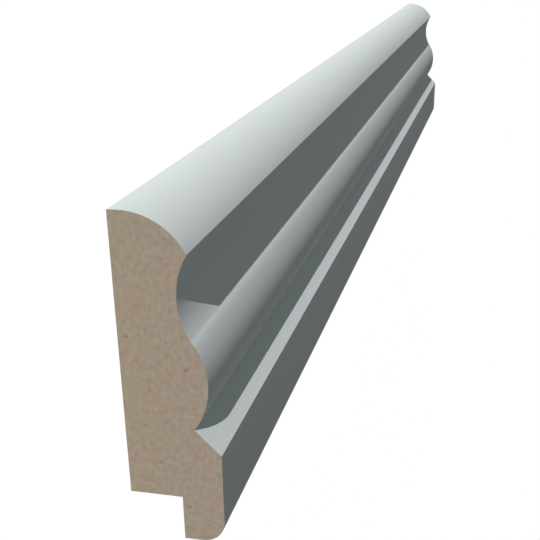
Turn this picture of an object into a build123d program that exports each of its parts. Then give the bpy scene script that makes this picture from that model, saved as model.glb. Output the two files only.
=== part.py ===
from build123d import *
import math
import os

# Rebated dado rail, moulded from one piece of primed MDF and sawn square to length.
# Millimetres. It lies on its wall face, moulded face up, as it would rest on a floor.
# +X runs along the rail, +Y to its top edge as fitted, +Z out from the wall.
# The origin is the bottom centre of its box: half way along, half way up, on the wall face.

# Stock
rail_length = 500.0
rail_height = 70.0  # as fitted, from the lip's lower edge to the top
rail_thickness = 20.0  # from the wall face to the lip's front face

# Rebate behind the lip, which sits over the top edge of a wall panel
rebate_height = 10.0
rebate_depth = 11.25

# Lip and the bevel above it
lip_face_height = 20.5  # from the lower edge to the bevel's outer arris
lip_round_radius = 5.0  # on the front lower edge
bevel_run = 5.35  # the bevel falls back as far as it rises, at 45 degrees

# Torus, the round that stands up from the quirk at the bevel's foot
torus_radius = 16.25
torus_inset = 2.1  # its crest lies this far behind the lip's front face
torus_rise = 18.5  # from the quirk to the narrow flat above the torus

# Narrow flat where the torus turns into the cove
turn_flat = 0.6  # its width, along its slope
turn_slope = math.radians(42)  # how far it faces upwards from straight out

# Cove, which ends at the nose's cusp
cove_radius = 16.8

# Nose at the top
nose_radius = 14.5
nose_flat = 2.1  # flat on top, between the wall face and the start of the nose
cusp_inset = 5.0  # the cusp lies this far behind the lip's front face

# Machined outer arrises are eased by sanding before they are primed
arris_radius = 0.2

# Places in the section, as (height above the lower edge, distance from the wall face)
front = rail_thickness
quirk = (lip_face_height + bevel_run, front - bevel_run)

torus_centre_out = front - torus_inset - torus_radius
torus_centre_up = quirk[0] + math.sqrt(torus_radius**2 - (quirk[1] - torus_centre_out) ** 2)
torus_crest = (torus_centre_up, front - torus_inset)

turn_up = quirk[0] + torus_rise
turn_out = torus_centre_out + math.sqrt(torus_radius**2 - (turn_up - torus_centre_up) ** 2)
turn = (turn_up, turn_out)
cove_foot = (turn_up + turn_flat * math.cos(turn_slope), turn_out - turn_flat * math.sin(turn_slope))

nose_centre = (rail_height - nose_radius, nose_flat)
cusp_out = front - cusp_inset
cusp = (nose_centre[0] + math.sqrt(nose_radius**2 - (cusp_out - nose_centre[1]) ** 2), cusp_out)


def section_outline():
    """The rail's outline in its cross-section, starting at the rebate and going up the wall face."""
    ledge_back = (rebate_height, 0)
    ledge_front = (rebate_height, rebate_depth)
    top_back = (rail_height, 0)
    nose_start = (rail_height, nose_flat)
    bevel_arris = (lip_face_height, front)
    round_top = (lip_round_radius, front)
    round_foot = (0, front - lip_round_radius)
    lip_back = (0, rebate_depth)
    with BuildLine() as outline:
        Polyline(ledge_back, top_back, nose_start)
        TangentArc(nose_start, cusp, tangent=(0, 1))
        RadiusArc(cusp, cove_foot, cove_radius)
        Line(cove_foot, turn)
        ThreePointArc(quirk, torus_crest, turn)
        Polyline(quirk, bevel_arris, round_top)
        TangentArc(round_top, round_foot, tangent=(-1, 0))
        Polyline(round_foot, lip_back, ledge_front, ledge_back)
    return outline.line


def near(vertex, *places):
    """True if a vertex of the section lies at one of these places."""
    return any(math.dist((vertex.X, vertex.Y), place) < arris_radius / 2 for place in places)


def section():
    """The cross-section as a face, with its outer arrises eased."""
    outer_arrises = (
        (rail_height, 0),
        cusp,
        (lip_face_height, front),
        (0, rebate_depth),
        (rebate_height, 0),
    )
    with BuildSketch() as face:
        make_face(section_outline())
        fillet([v for v in face.vertices() if near(v, *outer_arrises)], radius=arris_radius)
    return face.sketch


def dado_rail():
    """The rail as one solid, with square sawn ends."""
    centred = Plane.YZ.offset(-rail_length / 2) * Pos(-rail_height / 2, 0)
    return extrude(centred * section(), amount=rail_length)


os.makedirs("parts", exist_ok=True)
export_step(dado_rail(), "parts/dado_rail.step")
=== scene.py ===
# %% [markdown]
# # A rebated dado rail in primed MDF
#
# A dado rail is a moulding that runs along a wall at about the height of a chair's back. This one is
# rebated: a step is cut away behind its lower lip, and the top edge of a wall panel goes in there. It
# is milled from a strip of MDF, coated with an off-white primer and sawn to length. So it is one
# piece, and the whole job is one good section, two finishes and one lamp in the right place.
#
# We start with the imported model, which gives the size that the rail must keep.

# %% The frame
import math

import bpy
from mathutils import Euler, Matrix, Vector


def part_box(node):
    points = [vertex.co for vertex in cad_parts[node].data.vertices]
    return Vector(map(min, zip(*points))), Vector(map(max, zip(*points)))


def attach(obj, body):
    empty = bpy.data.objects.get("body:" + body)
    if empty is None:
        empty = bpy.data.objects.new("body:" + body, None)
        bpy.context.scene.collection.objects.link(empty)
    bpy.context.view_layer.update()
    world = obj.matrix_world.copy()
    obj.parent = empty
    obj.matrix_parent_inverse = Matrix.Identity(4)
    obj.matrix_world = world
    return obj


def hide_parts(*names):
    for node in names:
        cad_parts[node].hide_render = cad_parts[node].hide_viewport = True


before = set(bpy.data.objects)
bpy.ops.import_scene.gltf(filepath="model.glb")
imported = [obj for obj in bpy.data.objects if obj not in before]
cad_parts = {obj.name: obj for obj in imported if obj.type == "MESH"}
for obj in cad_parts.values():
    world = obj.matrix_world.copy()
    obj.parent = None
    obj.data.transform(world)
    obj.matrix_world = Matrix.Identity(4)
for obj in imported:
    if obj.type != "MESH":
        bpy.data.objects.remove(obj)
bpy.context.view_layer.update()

MM = 0.001  # one millimetre in Blender's metres
rail_low, rail_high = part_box("dado_rail")
print("the rail measures, in mm:", [round(size / MM, 2) for size in rail_high - rail_low])

# %% [markdown]
# ## The camera
#
# The photograph was taken close to the sawn end, looking along the rail, with the rail upright as on a
# wall. Our rail lies on its back on the floor. Instead of standing the rail up, we lay the camera on
# its side: then the picture is the same, and the rail still rests as it would be stored. The place and
# the turn of such a camera come from the edges that run away from us, and the lens comes from how fast
# they draw together. The upright edges stay upright in the picture although we look down on the rail,
# so the view is moved by a shift and not by tilting the camera.

# %% Camera
camera_place = Vector((-407.7, 81.3, 70.4)) * MM
camera_turn = Euler([math.radians(angle) for angle in (-19.13, -76.19, -4.61)])

bpy.ops.object.camera_add(location=camera_place, rotation=camera_turn)
camera = bpy.context.object
camera.name = "camera"
camera.data.sensor_width = 36.0
camera.data.lens = 63.8
camera.data.shift_y = 0.1422  # as a share of the picture's side
camera.data.clip_start = 10 * MM
bpy.context.scene.camera = camera
print("the camera stands", round((rail_low.x - camera_place.x) / MM), "mm in front of the sawn end")

# %% [markdown]
# ## The section, as a moulder's cutters leave it
#
# A moulding is the same all along, so a modeller draws its section once and pulls it out to length.
# We draw it as by hand: one vertex, extruded for each straight run and spun for each round, with the
# centre of each arc where the cutter's would be. That keeps every round a true arc, and the sizes can
# be read off. Heights go up the wall from the lip's lower edge, and depths go out from the wall.

# %% Sizes of the straight parts, in mm
height = (rail_high.y - rail_low.y) / MM
thickness = (rail_high.z - rail_low.z) / MM

rebate_height = 10.0
rebate_depth = 11.25
lip_face_height = 20.5
lip_round_radius = 5.0
bevel_run = 5.35

ledge_back = (rebate_height, 0.0)
lip_round_centre = (lip_round_radius, thickness - lip_round_radius)
bevel_arris = (lip_face_height, thickness)
quirk = (lip_face_height + bevel_run, thickness - bevel_run)
print("the lip is", thickness - rebate_depth, "mm thick, and a panel goes", rebate_height, "mm up behind it")

# %% [markdown]
# Three rounds make the moulded face. The torus stands up from the quirk, which is the notch at the
# bevel's foot. The nose rounds the top and ends in a sharp cusp, and the cove is the hollow between
# them.
#
# Just before the torus meets the cove it turns in faster, and the ridge there catches the light as a
# thin line along the rail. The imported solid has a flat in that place, 0.6 mm wide, as a cutter leaves
# it. Sanding rounds such a flat off by less than a tenth of a millimetre, so here we draw it as a round
# of its own.

# %% A point of a round
def around(centre, radius, facing):
    """The point of a round that faces so far upwards from straight out of the wall."""
    return (centre[0] + radius * math.sin(facing), centre[1] + radius * math.cos(facing))


# %% The torus and the ridge above it, in mm
torus_radius = 16.25
torus_inset = 2.1  # its crest lies this far behind the lip's face
turn_start = math.radians(28.4)  # how far the torus faces upwards where it starts to turn in faster
turn_radius = 6.6
turn_length = 1.75

torus_out = thickness - torus_inset - torus_radius
torus_up = quirk[0] + math.sqrt(torus_radius**2 - (quirk[1] - torus_out) ** 2)
torus_centre = (torus_up, torus_out)
torus_end = around(torus_centre, torus_radius, turn_start)
turn_centre = around(torus_centre, torus_radius - turn_radius, turn_start)
ridge = around(turn_centre, turn_radius, turn_start + turn_length / turn_radius)
print("the ridge lies", round(ridge[0], 2), "mm up and", round(ridge[1], 2), "mm out")

# %% The nose and the cove, in mm
nose_radius = 14.5
nose_flat = 2.1
cusp_inset = 5.0  # the cusp lies this far behind the lip's face
cove_radius = 16.8

nose_centre = (height - nose_radius, nose_flat)
cusp_out = thickness - cusp_inset
cusp = (nose_centre[0] + math.sqrt(nose_radius**2 - (cusp_out - nose_flat) ** 2), cusp_out)

cove_chord = Vector(cusp) - Vector(ridge)
cove_middle = (Vector(cusp) + Vector(ridge)) / 2
outward = Vector((-cove_chord.y, cove_chord.x)).normalized()
cove_centre = tuple(cove_middle + outward * math.sqrt(cove_radius**2 - cove_chord.length_squared / 4))
print("the cusp lies", round(cusp[0], 2), "mm up, and the cove is", round(cove_chord.length, 2), "mm wide")


# %% Helpers that draw with one vertex
def place(up, out):
    """A point of the section at the rail's near end, in metres, from its height and depth in mm."""
    return Vector((rail_low.x, rail_low.y + up * MM, rail_low.z + out * MM))


def run_to(start, end):
    """Extrudes the selected vertex along a straight run."""
    bpy.ops.mesh.extrude_region_move(TRANSFORM_OT_translate={"value": place(*end) - place(*start)})
    return end


def spin_to(start, end, centre, facet=0.5):
    """Spins the selected vertex round a centre, with about one facet to each half millimetre."""
    first = math.atan2(start[1] - centre[1], start[0] - centre[0])
    last = math.atan2(end[1] - centre[1], end[0] - centre[0])
    sweep = (last - first + math.pi) % math.tau - math.pi
    steps = max(8, round(abs(sweep) * math.dist(start, centre) / facet))
    bpy.ops.mesh.spin(steps=steps, angle=-sweep, center=place(*centre), axis=(1, 0, 0))
    return end


def deselect_everything():
    """Operators act on all that is selected, so each piece starts from nothing."""
    bpy.ops.object.select_all(action="DESELECT")


# %% [markdown]
# We begin at the back of the rebate and go once round: up the wall face, over the nose, down the cove
# and the torus to the quirk, out along the bevel, down the lip and back under it.

# %% Draw the section
deselect_everything()
bpy.ops.mesh.primitive_plane_add(size=MM, location=place(*ledge_back))
rail = bpy.context.object
rail.name = "primed_dado_rail"
bpy.ops.object.mode_set(mode="EDIT")
bpy.ops.mesh.select_mode(type="VERT")
bpy.ops.mesh.merge(type="CENTER")

here = run_to(ledge_back, (height, 0.0))
here = run_to(here, (height, nose_flat))
here = spin_to(here, cusp, nose_centre)
here = spin_to(here, ridge, cove_centre)
here = spin_to(here, torus_end, turn_centre)
here = spin_to(here, quirk, torus_centre)
here = run_to(here, bevel_arris)
here = run_to(here, (lip_round_radius, thickness))
here = spin_to(here, (0.0, thickness - lip_round_radius), lip_round_centre)
here = run_to(here, (0.0, rebate_depth))
here = run_to(here, (rebate_height, rebate_depth))
here = run_to(here, ledge_back)

# %% Pull it out to length
merge_distance = 0.001 * MM  # joins the last vertex to the first, and where runs and rounds meet
bpy.ops.mesh.select_all(action="SELECT")
bpy.ops.mesh.remove_doubles(threshold=merge_distance)
bpy.ops.mesh.edge_face_add()
bpy.ops.mesh.extrude_region_move(TRANSFORM_OT_translate={"value": (rail_high.x - rail_low.x, 0, 0)})
bpy.ops.mesh.select_all(action="SELECT")
bpy.ops.mesh.normals_make_consistent(inside=False)
bpy.ops.object.mode_set(mode="OBJECT")
print("the rail has", len(rail.data.vertices), "vertices and", len(rail.data.polygons), "faces")

# %% [markdown]
# ## Arrises
#
# A cutter leaves a knife-sharp arris, and primer doesn't stay on one. So the strip is sanded before it
# is primed, and each long outer arris ends up a fifth of a millimetre round. We select those edges by
# their place in the section and bevel them. A bevel's offset is measured along the faces, so it
# depends on how far the surface turns at the arris: less turn needs less offset for the same radius.

# %% How far the surface turns at each arris
arris_radius = 0.2  # mm
over_nose = Vector(cusp) - Vector(nose_centre)
into_cove = Vector(cove_centre) - Vector(cusp)
outer_arrises = {
    "wall face and top": ((height, 0.0), math.radians(90)),
    "cusp": (cusp, over_nose.angle(into_cove)),
    "bevel and lip": (bevel_arris, math.radians(45)),
    "under the lip": ((0.0, rebate_depth), math.radians(90)),
    "ledge and wall face": (ledge_back, math.radians(90)),
}
print("the surface turns", round(math.degrees(outer_arrises["cusp"][1])), "degrees at the cusp")


# %% Ease the long arrises
same_spot = 0.01 * MM  # vertices nearer than this to a spot of the section are at it
shortest_long_edge = 1 * MM


def select_long_edge(piece, spot):
    """Selects only the edge that runs along the rail at this spot of the section."""
    bpy.ops.object.mode_set(mode="EDIT")
    bpy.ops.mesh.select_mode(type="EDGE")
    bpy.ops.mesh.select_all(action="DESELECT")
    bpy.ops.object.mode_set(mode="OBJECT")
    corner = place(*spot)
    for edge in piece.data.edges:
        ends = [piece.data.vertices[index].co for index in edge.vertices]
        near = all(math.hypot(end.y - corner.y, end.z - corner.z) < same_spot for end in ends)
        edge.select = near and abs(ends[0].x - ends[1].x) > shortest_long_edge


for spot, turning in outer_arrises.values():
    select_long_edge(rail, spot)
    bpy.ops.object.mode_set(mode="EDIT")
    bpy.ops.mesh.bevel(offset=arris_radius * MM * math.tan(turning / 2), segments=3, affect="EDGES")
    bpy.ops.object.mode_set(mode="OBJECT")
print("with its arrises eased, the rail has", len(rail.data.vertices), "vertices")

# %% [markdown]
# The facets of a round turn by less than 6 degrees each, and the surface turns by about 12 at the
# ridge. Every arris and corner turns by 15 or more. So a limit between the two makes the rounds and the
# ridge look smooth, and it leaves the flats flat and the arrises crisp.

# %% Smooth shading on the rounds only
smooth_below = math.radians(14)
bpy.ops.object.shade_smooth_by_angle(angle=smooth_below)
print("sharp edges:", sum(edge.use_edge_sharp for edge in rail.data.edges))


# %% [markdown]
# ## Finishes
#
# There are two, so we need a few helpers for node materials first. Colours are written as hex values,
# as they look on a screen, and one function turns them into the linear values that a shader wants.
# Patterns read the object's own coordinates, in metres, so a texture's scale is one divided by the
# size that the pattern has on the real surface.

# %% Helpers for colours and nodes
def linear(hex_colour):
    """An sRGB hex colour as linear red, green, blue and alpha."""
    channels = [int(hex_colour[i : i + 2], 16) / 255 for i in (1, 3, 5)]
    return [c / 12.92 if c <= 0.04045 else ((c + 0.055) / 1.055) ** 2.4 for c in channels] + [1.0]


def new_material(name):
    """An empty node material."""
    material = bpy.data.materials.new(name)
    material.use_nodes = True
    material.node_tree.nodes.clear()
    return material


def add(owner, kind, inputs=None, **settings):
    """Adds a node with its settings. Inputs take values or other nodes' outputs."""
    tree = owner.node_tree
    node = tree.nodes.new(kind)
    for name, value in settings.items():
        setattr(node, name, value)
    for key, value in (inputs or {}).items():
        if isinstance(value, bpy.types.NodeSocket):
            tree.links.new(value, node.inputs[key])
        else:
            node.inputs[key].default_value = value
    return node


def per(*sizes):
    """Texture scales for pattern sizes in mm."""
    scales = [1 / (size * MM) for size in sizes]
    return scales[0] if len(scales) == 1 else scales


# %% [markdown]
# ### Primer
#
# The milled faces carry a factory primer: a water-based acrylic, off-white and a little cool, put on
# by a vacuum coater that the strip runs through and then sanded flat. That gives the eye an even, dead
# matt surface. Close up there are three things on it: a very fine orange peel, faint streaks along the
# rail where the coater and the sander ran, and a slight cloudiness from the film's thickness. The
# streaks on a real rail are a hair's breadth apart, so they are drawn about a millimetre apart, as
# fine as the picture can show.

# %% Clouds and streaks in the primer
primer = new_material("water_based_primer")
where = add(primer, "ShaderNodeTexCoord").outputs["Object"]

clouds = add(primer, "ShaderNodeTexNoise", {"Vector": where, "Scale": per(18.0), "Detail": 2.0})
along_rail = add(primer, "ShaderNodeMapping", {"Vector": where, "Scale": per(70.0, 0.8, 0.8)})
streaks = add(primer, "ShaderNodeTexNoise", {"Vector": along_rail.outputs[0], "Scale": 1.0, "Detail": 2.0})
film = add(
    primer,
    "ShaderNodeMix",
    {"Factor": 0.5, "A": clouds.outputs["Fac"], "B": streaks.outputs["Fac"]},
)
primer_colour = add(
    primer,
    "ShaderNodeMix",
    {"Factor": film.outputs["Result"], 6: linear("#DDE3E3"), 7: linear("#E3E9E9")},
    data_type="RGBA",
)

# %% [markdown]
# A dry primer is rough on the scale of its own pigment, so its roughness is high, and a little higher
# where the film is thick. A gloss paint would have a specular level of about 0.5. This rail shows no
# sheen, not even where we look along its face at a glancing angle, so the level is matched down until
# the far end of the lip is as dark as the near end.

# %% Orange peel and sheen
peel = add(primer, "ShaderNodeTexNoise", {"Vector": where, "Scale": per(1.1), "Detail": 2.0})
peel_bump = add(primer, "ShaderNodeBump", {"Height": peel.outputs["Fac"], "Distance": 0.003 * MM})
sheen = add(
    primer,
    "ShaderNodeMapRange",
    {"Value": film.outputs["Result"], "From Min": 0.3, "From Max": 0.7, "To Min": 0.75, "To Max": 0.85},
)
primer_shader = add(
    primer,
    "ShaderNodeBsdfPrincipled",
    {
        "Base Color": primer_colour.outputs[2],
        "Roughness": sheen.outputs["Result"],
        "Specular IOR Level": 0.02,
        "Normal": peel_bump.outputs["Normal"],
    },
)
add(primer, "ShaderNodeOutputMaterial", {"Surface": primer_shader.outputs[0]})
print("the primer is made of", len(primer.node_tree.nodes), "nodes")

# %% [markdown]
# ### Sawn MDF
#
# The two sawn ends are bare board: wood fibres pressed together with resin, so the eye sees a matt,
# warm grey-brown without any grain. Clumps of redder fibre make soft blotches a few millimetres wide.
# A single fibre is far too thin to show, so the fibres are drawn as specks of about half a millimetre,
# a little darker or lighter than the board.

# %% Blotches and fibres on the sawn end
sawn = new_material("sawn_mdf")
where = add(sawn, "ShaderNodeTexCoord").outputs["Object"]

blotch_space = add(sawn, "ShaderNodeMapping", {"Vector": where, "Scale": per(6.5, 6.5, 5.0)})
blotches = add(sawn, "ShaderNodeTexNoise", {"Vector": blotch_space.outputs[0], "Scale": 1.0, "Detail": 3.0})
redness = add(
    sawn,
    "ShaderNodeMapRange",
    {"Value": blotches.outputs["Fac"], "From Min": 0.48, "From Max": 0.64},
    interpolation_type="SMOOTHSTEP",
)
board_colour = add(
    sawn,
    "ShaderNodeMix",
    {"Factor": redness.outputs["Result"], 6: linear("#9A8E7D"), 7: linear("#9D8C7C")},
    data_type="RGBA",
)
fibre_space = add(sawn, "ShaderNodeMapping", {"Vector": where, "Scale": per(1.5, 1.4, 1.05)})
fibres = add(sawn, "ShaderNodeTexNoise", {"Vector": fibre_space.outputs[0], "Scale": 1.0, "Detail": 3.0})
fibre_light = add(
    sawn,
    "ShaderNodeMapRange",
    {"Value": fibres.outputs["Fac"], "From Min": 0.25, "From Max": 0.75, "To Min": 0.87, "To Max": 1.13},
)

# %% [markdown]
# The saw also plucks out loose clumps and leaves nicks, slanted as its teeth went through. A nick is
# about 1.5 mm long and less than 1 mm wide. We get them from a cell pattern: a nick is the middle of a
# cell, and the cells are stretched, turned and then bent a little, so that most nicks slant one way and
# no two look alike. A nick's colour gets a little painted shade, darker than the face round it, where a
# real nick is darker because less light gets in, and its sides are a slope for the light.

# %% Nicks in the sawn end
nick_slant = math.radians(-34)
nick_reach = 0.17  # how far a nick reaches from the middle of its cell, as a share of the cell's size
nick_cell = Vector((9.0, 4.3, 2.6)) * MM
nick_bend = Vector((3.5, 3.5, 3.5)) * MM
nick_shade = 0.08  # how much darker a nick is
bending = add(sawn, "ShaderNodeTexNoise", {"Vector": where, "Scale": per(4.5), "Detail": 0.0})
bent = add(
    sawn,
    "ShaderNodeVectorMath",
    {0: bending.outputs["Color"], 1: nick_bend, 2: where},
    operation="MULTIPLY_ADD",
)
nick_space = add(
    sawn,
    "ShaderNodeMapping",
    {"Vector": bent.outputs[0], "Rotation": (nick_slant, 0, 0), "Scale": nick_cell},
    vector_type="TEXTURE",
)
cells = add(sawn, "ShaderNodeTexVoronoi", {"Vector": nick_space.outputs[0], "Scale": 1.0})
whole = add(
    sawn,
    "ShaderNodeMapRange",
    {"Value": cells.outputs["Distance"], "From Min": 0.04, "From Max": nick_reach},
    interpolation_type="SMOOTHSTEP",
)
# Painted shade: inside a nick the colour is darkened by nick_shade, as if less light got in.
painted_nick_shade = add(
    sawn,
    "ShaderNodeMath",
    {0: whole.outputs["Result"], 1: nick_shade, 2: 1 - nick_shade},
    operation="MULTIPLY_ADD",
)
print("a nick is", [round(2 * nick_reach * size / MM, 1) for size in nick_cell.yz], "mm long and wide")

# %% Colour and relief of the sawn end
# The fibres' own lighter and darker specks, times the painted shade in the nicks.
fibre_specks_and_nick_shade = add(
    sawn,
    "ShaderNodeMath",
    {0: fibre_light.outputs["Result"], 1: painted_nick_shade.outputs[0]},
    operation="MULTIPLY",
)
end_colour = add(
    sawn,
    "ShaderNodeMix",
    {"Factor": 1.0, 6: board_colour.outputs[2], 7: fibre_specks_and_nick_shade.outputs[0]},
    data_type="RGBA",
    blend_type="MULTIPLY",
)
nick_bump = add(sawn, "ShaderNodeBump", {"Height": whole.outputs["Result"], "Distance": 0.14 * MM})
fibre_bump = add(
    sawn,
    "ShaderNodeBump",
    {"Height": fibres.outputs["Fac"], "Distance": 0.05 * MM, "Normal": nick_bump.outputs["Normal"]},
)
sawn_shader = add(
    sawn,
    "ShaderNodeBsdfPrincipled",
    {
        "Base Color": end_colour.outputs[2],
        "Roughness": 0.9,
        "Specular IOR Level": 0.2,
        "Normal": fibre_bump.outputs["Normal"],
    },
)
add(sawn, "ShaderNodeOutputMaterial", {"Surface": sawn_shader.outputs[0]})
print("the sawn end is made of", len(sawn.node_tree.nodes), "nodes")

# %% [markdown]
# The saw came last, so every face that looks along the rail is bare board and all the others are
# primed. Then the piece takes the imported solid's place.

# %% Give each face its finish
along_rail_limit = 0.9  # a face whose normal points further than this along the rail is a sawn end
rail.data.materials.append(primer)
rail.data.materials.append(sawn)
for face in rail.data.polygons:
    face.material_index = 1 if abs(face.normal.x) > along_rail_limit else 0
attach(rail, "root")
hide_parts("dado_rail")
print("sawn faces:", sum(face.material_index == 1 for face in rail.data.polygons))

# %% [markdown]
# ## Floor and light
#
# The floor is plain white, and so is what lies beyond it. If lamps made it white, the rail would be
# burnt out long before. So the camera, and anything shiny, sees a white floor and sky, while the rail
# is lit by less: a dim sky from above and the light that a pale floor gives back. The floor still
# takes light like any other surface, so the rail's shadow stays on it.

# %% A white floor that lights the rail softly
floor_size = 20  # metres, so that its edge lies far outside every view
floor_gap = 0.05 * MM  # keeps the floor and the rail's wall face out of one plane
deselect_everything()
bpy.ops.mesh.primitive_plane_add(size=floor_size, location=(0, 0, rail_low.z - floor_gap))
floor = bpy.context.object
floor.name = "floor"

sky_light = (0.137, 0.148, 0.148)  # a little cool
floor_light = 0.38
floor_white = "#F2F2F2"


def seen_or_felt(owner, seen, felt):
    """One radiance where the camera, a reflection or a clear body sees it, and another as light."""
    path = add(owner, "ShaderNodeLightPath").outputs
    rays = path["Is Camera Ray"]
    for name in ("Is Glossy Ray", "Is Transmission Ray"):
        rays = add(owner, "ShaderNodeMath", {0: rays, 1: path[name]}, operation="MAXIMUM").outputs[0]
    return add(owner, "ShaderNodeMix", {"Factor": rays, 6: felt, 7: seen}, data_type="RGBA").outputs[2]


floor_paint = new_material("white_studio_floor")
floor_grey = linear(floor_white)[0]
given_back = [floor_grey * light for light in sky_light]  # what the floor returns of the sky's light
floor_seen = [1 - light for light in given_back] + [1]
floor_felt = [floor_light - light for light in given_back] + [1]
floor_shader = add(
    floor_paint,
    "ShaderNodeBsdfPrincipled",
    {
        "Base Color": linear(floor_white),
        "Roughness": 0.9,
        "Specular IOR Level": 0.0,
        "Emission Color": seen_or_felt(floor_paint, floor_seen, floor_felt),
        "Emission Strength": 1.0,
    },
)
add(floor_paint, "ShaderNodeOutputMaterial", {"Surface": floor_shader.outputs[0]})
floor.data.materials.append(floor_paint)
print("the floor gives back", [round(light, 3) for light in given_back], "of the sky")

# %% [markdown]
# In a studio the soft light comes from above. The photographed rail stands as it is fitted, so its
# "above" is the +Y side of our rail on its back. The sky is brighter there and dimmer on the other
# side. For a world, the generated coordinates are the direction in which a ray leaves, so their Y
# says how far it points to the rail's top.

# %% Sky
sky_slope = 0.3  # how much brighter and dimmer the two sides of the sky are

world = bpy.data.worlds.new("studio")
bpy.context.scene.world = world
world.use_nodes = True
world.node_tree.nodes.clear()
direction = add(world, "ShaderNodeTexCoord").outputs["Generated"]
towards_top = add(world, "ShaderNodeSeparateXYZ", {"Vector": direction}).outputs["Y"]
share = add(world, "ShaderNodeMath", {0: towards_top, 1: sky_slope, 2: 1.0}, operation="MULTIPLY_ADD")
sky_felt = add(
    world,
    "ShaderNodeMix",
    {"Factor": 1.0, 6: (*sky_light, 1), 7: share.outputs[0]},
    data_type="RGBA",
    blend_type="MULTIPLY",
)
sky_shown = seen_or_felt(world, (1, 1, 1, 1), sky_felt.outputs[2])
sky = add(world, "ShaderNodeBackground", {"Color": sky_shown, "Strength": 1.0})
add(world, "ShaderNodeOutputWorld", {"Surface": sky.outputs[0]})
print("the sky's light goes from", round(1 - sky_slope, 2), "to", round(1 + sky_slope, 2), "of its mean")

# %% [markdown]
# One lamp does the rest. The shadow of the nose on the cove and of the torus on the bevel both end on
# sharp lines, so it is small and far away: a sun. It comes from behind the camera and from above the
# rail as fitted, and it only grazes the lip's face, which stays as dark as the shadows. A sun of
# strength pi renders a white face that looks straight at it as white, and a little less than that
# leaves room for the sky.

# %% Key light
key_travel = Vector((0.745, -0.667, -0.006))
bpy.ops.object.light_add(type="SUN", rotation=key_travel.to_track_quat("-Z", "Y").to_euler())
key = bpy.context.object
key.name = "key"
key.data.energy = 0.93 * math.pi
key.data.angle = math.radians(0.3)
print("the key comes down at", round(math.degrees(math.asin(-key_travel.y / key_travel.length))), "degrees")

bpy.context.scene.view_settings.view_transform = "Standard"
